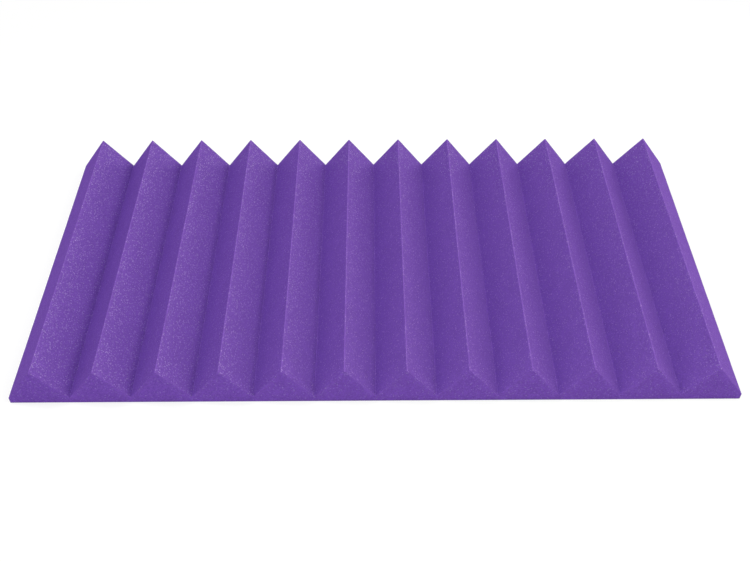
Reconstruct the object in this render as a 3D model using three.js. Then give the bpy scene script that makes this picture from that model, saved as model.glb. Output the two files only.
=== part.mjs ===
// An acoustic foam panel: one block of open-cell polyurethane foam, contour-cut along its face into a row of
// parallel triangular wedges that stand on an uncut base. Nothing is joined to it, and its back is the bare flat
// face that is glued to a wall. It lies on that back with the wedges up. X runs across the wedges, Y along them,
// and the origin is the centre of the back.

import * as THREE from "three";

// The saw-tooth that the contour cutter follows, in millimetres.
const wedgeCount = 12;
const wedgePitch = 101.6; // valley to valley, four inches
const wedgeHeight = 66.7; // from the valley line to where the two slopes would meet
const tipRadius = 1.3; // the blade blunts each tip as it turns
const valleyRadius = 0.6; // and leaves each valley nearly sharp
const cornerFacets = 5; // on each tip and each valley

// The sheet that is sawn from the cut block.
const panelWidth = 609.6; // along the wedges, two feet
const baseThickness = 12.7; // the uncut foam below the valleys, half an inch
const panelLength = wedgeCount * wedgePitch; // four feet, with half a valley at each side

// The panel seen from its front end, drawn anticlockwise from the lower left corner. Each tip and each valley is
// an arc tangent to the slopes beside it, so the arc's centre lies one radius away from both slopes.
function drawEndView() {
  const slopeAngle = Math.atan2(wedgeHeight, wedgePitch / 2); // of each cut face above the back
  const tipCentreHeight = baseThickness + wedgeHeight - tipRadius / Math.cos(slopeAngle);
  const valleyCentreHeight = baseThickness + valleyRadius / Math.cos(slopeAngle);
  const up = Math.PI / 2;
  const down = -Math.PI / 2;

  const endView = new THREE.Shape();
  endView.moveTo(0, 0);
  endView.lineTo(panelLength, 0);
  endView.lineTo(panelLength, baseThickness);
  for (let wedge = wedgeCount; wedge > 0; wedge--) {
    const tipX = (wedge - 0.5) * wedgePitch;
    endView.absarc(tipX, tipCentreHeight, tipRadius, up - slopeAngle, up + slopeAngle, false);
    if (wedge > 1) {
      const valleyX = (wedge - 1) * wedgePitch;
      endView.absarc(valleyX, valleyCentreHeight, valleyRadius, down + slopeAngle, down - slopeAngle, true);
    }
  }
  endView.lineTo(0, baseThickness);
  return endView;
}

// The block is sawn square at both ends, so the end view runs straight through it along Y.
function cutFoamPanel() {
  const geometry = new THREE.ExtrudeGeometry(drawEndView(), {
    depth: panelWidth,
    steps: 1,
    curveSegments: cornerFacets,
    bevelEnabled: false,
  });
  const purpleFoam = new THREE.MeshStandardMaterial({ color: 0x6a48a1, roughness: 0.95, metalness: 0 });
  const panel = new THREE.Mesh(geometry, purpleFoam);
  panel.name = "foam_panel";
  panel.rotation.x = Math.PI / 2; // the end view stands up, and its extrusion runs towards -Y
  panel.position.set(-panelLength / 2, panelWidth / 2, 0);
  return panel;
}

const acousticFoamPanel = new THREE.Group();
acousticFoamPanel.add(cutFoamPanel());

export default acousticFoamPanel;
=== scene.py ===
# An acoustic foam panel: one block of dyed open-cell foam with twelve wedges cut along its face, lying on
# its flat back under soft studio light. Everything is in metres, with the origin at the centre of the
# panel's back.

import math

import bmesh
import bpy
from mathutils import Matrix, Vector, noise


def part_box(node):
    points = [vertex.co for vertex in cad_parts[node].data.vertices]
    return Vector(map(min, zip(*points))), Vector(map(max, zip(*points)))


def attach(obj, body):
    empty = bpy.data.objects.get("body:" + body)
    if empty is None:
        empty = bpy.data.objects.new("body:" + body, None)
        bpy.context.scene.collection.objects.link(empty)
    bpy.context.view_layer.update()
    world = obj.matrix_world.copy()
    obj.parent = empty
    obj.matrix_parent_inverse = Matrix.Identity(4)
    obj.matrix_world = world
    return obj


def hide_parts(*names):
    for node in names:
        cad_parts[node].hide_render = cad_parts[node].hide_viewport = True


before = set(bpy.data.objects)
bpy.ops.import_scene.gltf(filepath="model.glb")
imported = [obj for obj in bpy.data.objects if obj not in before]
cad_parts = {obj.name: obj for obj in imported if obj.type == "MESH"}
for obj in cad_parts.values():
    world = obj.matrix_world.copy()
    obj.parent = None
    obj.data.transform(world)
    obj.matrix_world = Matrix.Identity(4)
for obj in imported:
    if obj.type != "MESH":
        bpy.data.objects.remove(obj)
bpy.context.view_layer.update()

# Camera
# It stands in front of the panel and above it, looking down at the middle of the wedges. Its place, turn
# and lens were solved on the panel's corners in the photograph, and it is level to a fraction of a degree.
camera_place = (-0.00715, -1.22838, 1.24597)
camera_turn = (43.967, 0.012, -0.391)  # degrees about X, Y and Z
film_width = 36.0  # millimetres
photo_width = 750.0  # pixels
focal_length = 919.61  # pixels

photo_camera = bpy.data.cameras.new("photo_camera")
photo_camera.sensor_width = film_width
photo_camera.lens = focal_length / photo_width * film_width
camera = bpy.data.objects.new("photo_camera", photo_camera)
camera.location = camera_place
camera.rotation_euler = [math.radians(angle) for angle in camera_turn]
bpy.context.scene.collection.objects.link(camera)
bpy.context.scene.camera = camera
bpy.context.scene.view_settings.view_transform = "Standard"

# Foam block
# The whole panel is one piece of open-cell polyurethane foam, dyed through. A blade on a saw-tooth path cuts
# the wedges, and leaves each tip blunt and each valley close to sharp. A straight blade saws the block to
# size.
low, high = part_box("foam_panel")
wedge_count = 12
wedge_pitch = (high.x - low.x) / wedge_count
base_thickness = 0.0127
wedge_height = 0.0667  # from the valley line to where the two slopes would meet
tip_radius = 0.0013
valley_radius = 0.0006
slope_angle = math.atan2(wedge_height, wedge_pitch / 2)
sawn_edge = 0.0004  # how far the crumbled edge of a saw cut is rounded
corner_segments = 6  # round each tip and each valley
slope_strips = 6  # down each slope
rows = 120  # along the wedges
edge_strip = 0.0012  # the narrow strip of face beside each rounded edge
sawn_segments = 2  # round each saw cut
flat_enough = math.radians(1)
tiny = 1e-6
square_on = 0.9  # how much of an axis the normal of a face holds that faces along it


def everything(mesh):
    return mesh.verts[:] + mesh.edges[:] + mesh.faces[:]


def cut(mesh, point, across):
    bmesh.ops.bisect_plane(mesh, geom=everything(mesh), dist=tiny, plane_co=point, plane_no=across)


def is_level(edge, height):
    return all(abs(corner.co.z - height) < tiny for corner in edge.verts)


def round_ridges(mesh, height, radius):
    ridges = [
        edge
        for edge in mesh.edges
        if is_level(edge, height) and all(abs(corner.co.x) < high.x - tiny for corner in edge.verts)
    ]
    bmesh.ops.bevel(
        mesh,
        geom=ridges,
        affect="EDGES",
        offset=radius * math.tan(slope_angle),
        offset_type="OFFSET",
        segments=corner_segments,
        profile=0.5,
        material=-1,
    )


# The block, with its top cut at each valley and tip, and the valleys then lowered to the base.
foam = bmesh.new()
bmesh.ops.create_cube(foam, size=1)
block_size = Vector((high.x - low.x, high.y - low.y, base_thickness + wedge_height))
bmesh.ops.scale(foam, vec=block_size, verts=foam.verts)
bmesh.ops.translate(foam, vec=(0, 0, block_size.z / 2), verts=foam.verts)
half_pitch = wedge_pitch / 2
for half in range(1, 2 * wedge_count):
    cut(foam, (low.x + half * half_pitch, 0, 0), (1, 0, 0))
valley_corners = [
    corner
    for corner in foam.verts
    if corner.co.z > base_thickness and round((corner.co.x - low.x) / half_pitch) % 2 == 0
]
bmesh.ops.translate(foam, vec=(0, 0, -wedge_height), verts=valley_corners)
bmesh.ops.dissolve_limit(foam, angle_limit=flat_enough, verts=foam.verts, edges=foam.edges)
round_ridges(foam, base_thickness + wedge_height, tip_radius)
round_ridges(foam, base_thickness, valley_radius)
sawn_edges = [
    edge
    for edge in foam.edges
    if any(abs(face.normal.y) > square_on or abs(face.normal.x) > square_on for face in edge.link_faces)
]
bmesh.ops.bevel(
    foam,
    geom=sawn_edges,
    affect="EDGES",
    offset=sawn_edge,
    offset_type="OFFSET",
    segments=sawn_segments,
    profile=0.5,
    material=-1,
)

# Strips down the slopes and rows along them, so that the surface can take the blade's small errors.
tip_reach = tip_radius * math.sin(slope_angle) + edge_strip
valley_reach = valley_radius * math.sin(slope_angle) + edge_strip
for wedge in range(wedge_count):
    tip_x = low.x + (wedge + 0.5) * wedge_pitch
    for side in (-1, 1):
        strip_lines = [half_pitch * strip / slope_strips for strip in range(1, slope_strips)]
        for reach in strip_lines + [tip_reach, half_pitch - valley_reach]:
            cut(foam, (tip_x + side * reach, 0, 0), (1, 0, 0))
for strip in range(slope_strips):
    cut(foam, (0, 0, base_thickness + wedge_height * strip / slope_strips), (0, 0, 1))
row_lines = [low.y + (high.y - low.y) * row / rows for row in range(1, rows)]
for line in row_lines + [low.y + edge_strip, high.y - edge_strip]:
    cut(foam, (0, line, 0), (0, 1, 0))

# The contour blade lies along the wedges, so its errors run along them too. The foam also springs back
# unevenly.
blade_error = 0.00016
blade_reach = Vector((90, 7, 90))  # waves per metre, few of them along Y
spring_error = 0.00018
spring_reach = 45  # waves per metre
foam.normal_update()
moves = []
for corner in foam.verts:
    blade = noise.noise(corner.co * blade_reach)
    spring = noise.noise(corner.co * spring_reach)
    on_the_back = corner.co.z < sawn_edge + tiny
    moves.append(0 if on_the_back else blade * blade_error + spring * spring_error)
for corner, move in zip(foam.verts, moves):
    corner.co += corner.normal * move
bmesh.ops.recalc_face_normals(foam, faces=foam.faces)
for face in foam.faces:
    face.smooth = True

# How pale the foam is painted at each point, partly for fraying and partly as a painted highlight where the
# rounded edges catch the light: most round a tip, less round a sawn edge, and not at all beside them. The
# valleys stay whole. The contour blade also leaves more loose skins than the saw does; their pale colour is
# a painted glint, laid on most near the tips and on the slopes that face +X, where the rear lamps catch
# them.
# The tips and sawn edges are painted paler: partly fraying, partly a painted highlight where they catch the
# light.
frayed_and_highlit = foam.verts.layers.float.new("frayed_and_highlit")
loose_skins_and_glint = foam.verts.layers.float.new("loose_skins_and_glint")
tip_fray_and_highlight = 1.0
end_fray_and_highlight = 0.4
end_skins = 0.37
# More loose skins, and so more painted glint, on the +X slopes and near the tips, where the rear lamps catch
# them.
lamp_side_skins = (0.75, 1.3)  # in the valley, and how many more at the tip
other_skins = (0.72, 0.33)
least_turn = math.radians(8)
towards_end = 0.5  # how much of Y the normal holds beyond the rounded edge of an end
foam.normal_update()
for corner in foam.verts:
    turns = any(corner.normal.angle(face.normal) > least_turn for face in corner.link_faces)
    on_a_tip = corner.co.z > base_thickness + wedge_height - tip_radius
    at_an_end = abs(corner.co.y) > high.y - 2 * sawn_edge
    if turns and on_a_tip:
        corner[frayed_and_highlit] = tip_fray_and_highlight
    elif turns and at_an_end:
        corner[frayed_and_highlit] = end_fray_and_highlight
    if abs(corner.normal.y) > towards_end:
        corner[loose_skins_and_glint] = end_skins
    else:
        in_valley, added = lamp_side_skins if corner.normal.x > 0 else other_skins
        height_share = max(0, (corner.co.z - base_thickness) / wedge_height)
        corner[loose_skins_and_glint] = in_valley + added * height_share

# A map for baking the colours. The slopes lie side by side in two ranks, an end lies beyond them, and the
# other end, the two sides and the back, which is drawn smaller, stand beside them.
bake_map = foam.loops.layers.uv.new("OFBake")
map_size = 1.36  # metres of foam along each side of the map
map_gap = 0.003
back_share = 0.36  # of full size
mostly_on = 0.7  # as square_on, with the rounded edges taken in
slope_length = math.hypot(half_pitch, wedge_height)
slope_column = slope_length + map_gap
slope_rank = high.y - low.y + map_gap
beside_slopes = wedge_count * slope_column
beyond_slopes = 2 * slope_rank
end_height = base_thickness + wedge_height


def on_the_map(face, point):
    along_x = point.x - low.x
    along_y = point.y - low.y
    if face.normal.y < -mostly_on:
        return along_x, beyond_slopes + point.z
    if face.normal.y > mostly_on:
        return beside_slopes + point.z, along_x
    if face.normal.z < -mostly_on:
        beside_sides = beside_slopes + end_height + 2 * (base_thickness + map_gap) + map_gap
        return beside_sides + along_y * back_share, along_x * back_share
    centre = face.calc_center_median()
    if abs(face.normal.x) > square_on:
        side_column = base_thickness + map_gap if centre.x > 0 else 0
        return beside_slopes + end_height + map_gap + side_column + point.z, along_y
    wedge = min(int((centre.x - low.x) / wedge_pitch), wedge_count - 1)
    tip_x = low.x + (wedge + 0.5) * wedge_pitch
    side = 1 if centre.x > tip_x else -1
    down = (point.x - tip_x) * side * math.cos(slope_angle) + (end_height - point.z) * math.sin(slope_angle)
    slope = 2 * wedge + (side > 0)
    return slope % wedge_count * slope_column + down, slope // wedge_count * slope_rank + along_y


for face in foam.faces:
    for loop in face.loops:
        across, upward = on_the_map(face, loop.vert.co)
        loop[bake_map].uv = ((across + map_gap) / map_size, (upward + map_gap) / map_size)

sharp_turn = math.radians(50)
foam_mesh = bpy.data.meshes.new("wedge_foam")
foam.to_mesh(foam_mesh)
foam.free()
foam_mesh.set_sharp_from_angle(angle=sharp_turn)
wedge_foam = bpy.data.objects.new("wedge_foam", foam_mesh)
bpy.context.scene.collection.objects.link(wedge_foam)

# Purple foam
# The dye is even, but a cut face shows opened cells about a millimetre wide, in clumps, painted darker in
# their hollows and where the clumps lie low as painted shade, and here and there the torn skin of a cell,
# which glints when it faces a lamp and is painted paler as a painted glint. The ends get a fuller colour.
dye = (0.1555, 0.0688, 0.371, 1)
# The ends are given a fuller, bluer colour than the slopes.
end_colour = (0.158, 0.0665, 0.399, 1)
painted_highlight_colour = (0.42, 0.22, 0.68, 1)
cell_size = 0.0011
cell_depth = 0.0003
wall_reach = (0.15, 0.6)  # from a cell's hollow to its wall, in cell sizes
# The cell hollows and the low clumps are painted darker as painted shade, with a random mottle on top.
hollow_painted_shade = (0.9, 1.04)
clump_size = 0.0022
clump_depth = 0.0006
clump_reach = (0.25, 0.75)
clump_painted_shade = (0.86, 1.14)
mottle_size = 0.03
mottle_reach = (0.3, 0.7)
mottle_shade = (0.98, 1.02)
fine_detail = 2.0
skin_spacing = 0.0025
skin_rim = (0.35, 0.45)  # where a skin ends, in spacings
skin_rarity = 5.0  # the higher, the fewer skins stand out
skin_tilt = 0.4
tear_size = 0.0014
tear_reach = 0.003
tear_detail = 1.0
# A loose skin is painted pale as a painted glint.
skin_glint_paleness = 0.26  # how far a loose skin takes its own colour
fray_highlight_paleness = 0.06
cell_roughness = 0.85
skin_roughness = 0.6
glint = 6.6
glint_narrowing = 2.0  # the higher, the sooner it fades as a skin turns away
glint_roughness = 0.3
glint_index = 1.8
middle = (0.5, 0.5, 0.5)  # of a noise in three channels

purple_foam = bpy.data.materials.new("purple_foam")
purple_foam.use_nodes = True
foam_tree = purple_foam.node_tree
foam_shader = foam_tree.nodes["Principled BSDF"]
foam_shader.inputs["Specular IOR Level"].default_value = 0.0
foam_shader.inputs["Coat Roughness"].default_value = glint_roughness
foam_shader.inputs["Coat IOR"].default_value = glint_index
foam_mesh.materials.append(purple_foam)
place = foam_tree.nodes.new("ShaderNodeTexCoord").outputs["Object"]


def feed(socket, value):
    """Links value to the socket, or sets the socket where value is a plain number or colour."""
    if isinstance(value, bpy.types.NodeSocket):
        foam_tree.links.new(value, socket)
    else:
        socket.default_value = value


def reckon(operation, *values):
    node = foam_tree.nodes.new("ShaderNodeMath")
    node.operation = operation
    for socket, value in zip(node.inputs, values):
        feed(socket, value)
    return node.outputs[0]


def along(operation, first, second):
    node = foam_tree.nodes.new("ShaderNodeVectorMath")
    node.operation = operation
    feed(node.inputs[0], first)
    feed(node.inputs[1], second)
    return node.outputs["Value" if operation == "DOT_PRODUCT" else "Vector"]


def cells(size, point):
    node = foam_tree.nodes.new("ShaderNodeTexVoronoi")
    feed(node.inputs["Vector"], point)
    feed(node.inputs["Scale"], 1 / size)
    return node


def clouds(size, detail):
    node = foam_tree.nodes.new("ShaderNodeTexNoise")
    feed(node.inputs["Vector"], place)
    feed(node.inputs["Scale"], 1 / size)
    feed(node.inputs["Detail"], detail)
    return node


def ramp(value, reach, start, end):
    """Eases from start to end while value goes through its reach, and holds them beyond it."""
    node = foam_tree.nodes.new("ShaderNodeMapRange")
    node.interpolation_type = "SMOOTHSTEP"
    feed(node.inputs["Value"], value)
    feed(node.inputs["From Min"], reach[0])
    feed(node.inputs["From Max"], reach[1])
    feed(node.inputs["To Min"], start)
    feed(node.inputs["To Max"], end)
    return node.outputs["Result"]


def blend(kind, share, first, second):
    """Mixes two colours, whose sockets lie on a Mix node behind those for numbers and vectors."""
    node = foam_tree.nodes.new("ShaderNodeMix")
    node.data_type = "RGBA"
    node.blend_type = kind
    colours = [socket for socket in node.inputs if socket.type == "RGBA"]
    feed(node.inputs[0], share)
    feed(colours[0], first)
    feed(colours[1], second)
    return next(socket for socket in node.outputs if socket.type == "RGBA")


# Opened cells in clumps, and skins with torn outlines, of which only a few stand out.
whole = (0.0, 1.0)
cell_wall = ramp(cells(cell_size, place).outputs["Distance"], wall_reach, 0.0, 1.0)
clump = clouds(clump_size, fine_detail).outputs["Fac"]
mottle = clouds(mottle_size, fine_detail).outputs["Fac"]
tear = along("SUBTRACT", clouds(tear_size, tear_detail).outputs["Color"], middle)
torn_place = along("ADD", place, along("MULTIPLY", tear, (tear_reach, tear_reach, tear_reach)))
skins = cells(skin_spacing, torn_place)
skin_chance = foam_tree.nodes.new("ShaderNodeTexWhiteNoise")
feed(skin_chance.inputs["Vector"], skins.outputs["Position"])
near_skin = ramp(skins.outputs["Distance"], skin_rim, 1.0, 0.0)
looseness_and_glint = foam_tree.nodes.new("ShaderNodeAttribute")
looseness_and_glint.attribute_name = "loose_skins_and_glint"
skin = reckon("MULTIPLY", near_skin, reckon("POWER", skin_chance.outputs["Value"], skin_rarity))
loose_skin_and_glint = reckon("MULTIPLY", skin, looseness_and_glint.outputs["Fac"])

# Colour, painted shade and highlights included, roughness, and the glint of skins that face the onlooker.
# Painted shade: the colour darkens in each cell's hollow and where the clumps lie low.
tone_and_painted_shade = reckon("MULTIPLY", ramp(cell_wall, whole, *hollow_painted_shade), ramp(clump, clump_reach, *clump_painted_shade))
tone_and_painted_shade = reckon("MULTIPLY", tone_and_painted_shade, ramp(mottle, mottle_reach, *mottle_shade))
grey = foam_tree.nodes.new("ShaderNodeCombineColor")
for channel in grey.inputs:
    feed(channel, tone_and_painted_shade)
at_ends = ramp(looseness_and_glint.outputs["Fac"], (end_skins, other_skins[0]), 1.0, 0.0)
dyed = blend("MULTIPLY", 1.0, blend("MIX", at_ends, dye, end_colour), grey.outputs[0])
# Painted highlight along the tips and sawn edges, partly for fraying.
fray_and_highlight = foam_tree.nodes.new("ShaderNodeAttribute")
fray_and_highlight.attribute_name = "frayed_and_highlit"
# The colour turns pale along the tips and sawn edges and on loose skins: partly fraying and paler skin,
# partly painted highlight and painted glint.
painted_highlight_share = reckon("MULTIPLY_ADD", fray_and_highlight.outputs["Fac"], fray_highlight_paleness, reckon("MULTIPLY", loose_skin_and_glint, skin_glint_paleness))
feed(foam_shader.inputs["Base Color"], blend("MIX", painted_highlight_share, dyed, painted_highlight_colour))
feed(foam_shader.inputs["Roughness"], ramp(skin, whole, cell_roughness, skin_roughness))
facing = foam_tree.nodes.new("ShaderNodeLayerWeight")
towards = reckon("SUBTRACT", 1.0, facing.outputs["Facing"])
shine = reckon("MULTIPLY", reckon("POWER", towards, glint_narrowing), glint)
gloss = reckon("MULTIPLY", loose_skin_and_glint, shine)
gloss.node.use_clamp = True
feed(foam_shader.inputs["Coat Weight"], gloss)

# Relief: cells and clumps in depth, and each skin leaning its own way.
relief = reckon("MULTIPLY", cell_wall, ramp(skin, whole, cell_depth, 0.0))
relief = reckon("MULTIPLY_ADD", clump, clump_depth, relief)
lean = along("SUBTRACT", skins.outputs["Color"], middle)
lifted = along("DOT_PRODUCT", along("SUBTRACT", place, skins.outputs["Position"]), lean)
relief = reckon("MULTIPLY_ADD", reckon("MULTIPLY", lifted, skin), skin_tilt, relief)
bump = foam_tree.nodes.new("ShaderNodeBump")
feed(bump.inputs["Distance"], 1.0)
feed(bump.inputs["Height"], relief)
feed(foam_shader.inputs["Normal"], bump.outputs[0])
feed(foam_shader.inputs["Coat Normal"], bump.outputs[0])

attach(wedge_foam, "root")
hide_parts("foam_panel")

# Floor
# A sheet of white paper under the panel. Camera and gloss see it white but for the panel's faint shadow,
# which is kept close round the panel, and it bounces the studio's light as paper does.
floor_width = 40
paper_colour = (0.8, 0.8, 0.8, 1)
floor_glow = 0.72  # close round the panel, where the lamps bring it up to white
shadow_share = 0.25
shadow_reach = 0.8  # metres from the centre
shadow_end = 1.4
bpy.ops.mesh.primitive_plane_add(size=floor_width)
floor = bpy.context.object
floor.name = "floor"
floor_paper = bpy.data.materials.new("floor_paper")
floor_paper.use_nodes = True
floor.data.materials.append(floor_paper)


def seen_white(tree, lit_shader, white_shader):
    """Shows white_shader to the camera, gloss and glass, and lit_shader to the rest of the light."""
    path = tree.nodes.new("ShaderNodeLightPath")
    camera_or_gloss = tree.nodes.new("ShaderNodeMath")
    camera_or_gloss.operation = "MAXIMUM"
    or_glass = tree.nodes.new("ShaderNodeMath")
    or_glass.operation = "MAXIMUM"
    choice = tree.nodes.new("ShaderNodeMixShader")
    tree.links.new(path.outputs["Is Camera Ray"], camera_or_gloss.inputs[0])
    tree.links.new(path.outputs["Is Glossy Ray"], camera_or_gloss.inputs[1])
    tree.links.new(camera_or_gloss.outputs[0], or_glass.inputs[0])
    tree.links.new(path.outputs["Is Transmission Ray"], or_glass.inputs[1])
    tree.links.new(or_glass.outputs[0], choice.inputs[0])
    tree.links.new(lit_shader.outputs[0], choice.inputs[1])
    tree.links.new(white_shader.outputs[0], choice.inputs[2])
    return choice


paper_tree = floor_paper.node_tree
paper = paper_tree.nodes["Principled BSDF"]
paper.inputs["Base Color"].default_value = paper_colour
paper.inputs["Roughness"].default_value = 1.0
paper.inputs["Specular IOR Level"].default_value = 0.0
glow = paper_tree.nodes.new("ShaderNodeEmission")
glow.inputs["Strength"].default_value = floor_glow
shaded = paper_tree.nodes.new("ShaderNodeBsdfDiffuse")
shaded.inputs["Color"].default_value = (shadow_share, shadow_share, shadow_share, 1)
near_white = paper_tree.nodes.new("ShaderNodeAddShader")
paper_tree.links.new(glow.outputs[0], near_white.inputs[0])
paper_tree.links.new(shaded.outputs[0], near_white.inputs[1])
floor_place = paper_tree.nodes.new("ShaderNodeTexCoord")
from_centre = paper_tree.nodes.new("ShaderNodeVectorMath")
from_centre.operation = "LENGTH"
paper_tree.links.new(floor_place.outputs["Object"], from_centre.inputs[0])
fade = paper_tree.nodes.new("ShaderNodeMapRange")
paper_tree.links.new(from_centre.outputs["Value"], fade.inputs["Value"])
fade.inputs["From Min"].default_value = shadow_reach
fade.inputs["From Max"].default_value = shadow_end
far_white = paper_tree.nodes.new("ShaderNodeEmission")
white_paper = paper_tree.nodes.new("ShaderNodeMixShader")
paper_tree.links.new(fade.outputs["Result"], white_paper.inputs[0])
paper_tree.links.new(near_white.outputs[0], white_paper.inputs[1])
paper_tree.links.new(far_white.outputs[0], white_paper.inputs[2])
shown_floor = seen_white(paper_tree, paper, white_paper)
paper_tree.links.new(shown_floor.outputs[0], paper_tree.nodes["Material Output"].inputs["Surface"])

# Studio
# White walls light the panel evenly. The key softbox hangs high at the front right, and the fill high at
# the left. A low one brightens the front end, and two behind the right rear corner, one of them an upright
# strip, make the loose skins glint. The cloths of the key and of those two have yellowed a little.
wall_light = 0.555
white = (1, 1, 1, 1)
room = bpy.data.worlds.new("room")
room.use_nodes = True
bpy.context.scene.world = room
room_tree = room.node_tree
walls = room_tree.nodes["Background"]
walls.inputs["Color"].default_value = white
walls.inputs["Strength"].default_value = wall_light
backdrop = room_tree.nodes.new("ShaderNodeBackground")
backdrop.inputs["Color"].default_value = white
backdrop.inputs["Strength"].default_value = 1.0
shown_room = seen_white(room_tree, walls, backdrop)
room_tree.links.new(shown_room.outputs[0], room_tree.nodes["World Output"].inputs["Surface"])


def softbox(name, distance, bearing, height, width, power, length=None, cloth=(1, 1, 1)):
    """Aims a softbox at the panel, round or, given a length, a strip. Bearings run from +X towards +Y."""
    light = bpy.data.lights.new(name, "AREA")
    light.shape = "DISK" if length is None else "RECTANGLE"
    light.size = width
    if length is not None:
        light.size_y = length
    light.energy = power
    light.color = cloth
    box = bpy.data.objects.new(name, light)
    round_about, up = math.radians(bearing), math.radians(height)
    level = distance * math.cos(up)
    box.location = (level * math.cos(round_about), level * math.sin(round_about), distance * math.sin(up))
    box.rotation_euler = (-box.location).to_track_quat("-Z", "Y").to_euler()
    bpy.context.scene.collection.objects.link(box)


yellowed = (0.94, 1.0, 0.79)

softbox("key", distance=2.5, bearing=-18, height=54, width=1.0, power=37.6, cloth=yellowed)
softbox("fill", distance=2.6, bearing=180, height=66, width=0.8, power=30.6)
softbox("front", distance=1.8, bearing=255, height=8, width=0.5, power=3.2)
softbox("rear_low", distance=2.6, bearing=45, height=9, width=0.3, power=6.4, cloth=yellowed)
softbox("rear_strip", distance=2.6, bearing=45, height=20, width=0.25, power=8.0, length=1.1, cloth=yellowed)
